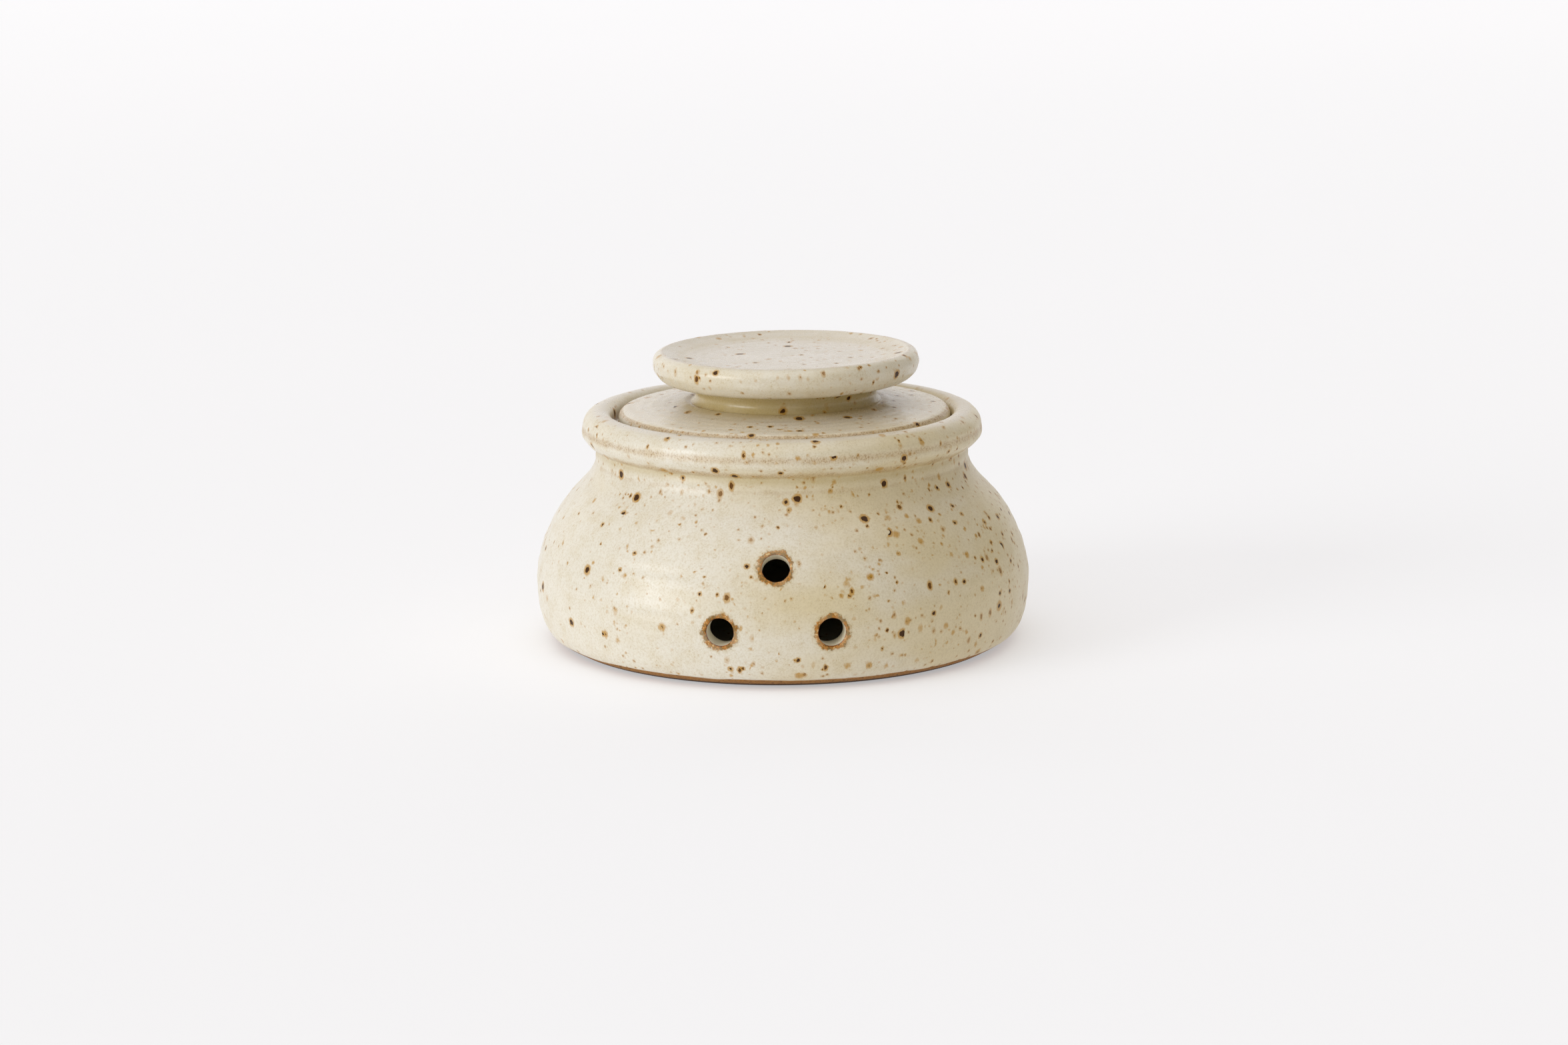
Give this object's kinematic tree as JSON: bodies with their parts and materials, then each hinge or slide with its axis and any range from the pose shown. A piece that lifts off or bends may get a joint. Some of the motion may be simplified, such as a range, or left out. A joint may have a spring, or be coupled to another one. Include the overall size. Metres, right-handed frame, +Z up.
{
  "type": "garlic keeper",
  "caption": "Squat round lidded stoneware jar with vent holes in its side and a flat inset lid lifted by a wide dished disc knob.",
  "frame": {"origin": "centre of the foot's resting plane, on the pot's axis of revolution", "axes": "+Z up along the axis of revolution; -Y is the front, the side with the vent holes"},
  "size_m": [0.15, 0.15, 0.0883],
  "materials": {
    "speckled_glaze": "satin off-white glaze with dark iron speckles, bare brown clay at the foot"
  },
  "bodies": {
    "pot": {"pot_body": "speckled_glaze"},
    "lid": {"lid_plate": "speckled_glaze", "lid_knob": "speckled_glaze"}
  },
  "joints": [
    {"name": "lid_lift", "type": "slide", "parent": "pot", "child": "lid", "axis": [0, 0, 1], "range_m": [0, 0.12]}
  ]
}
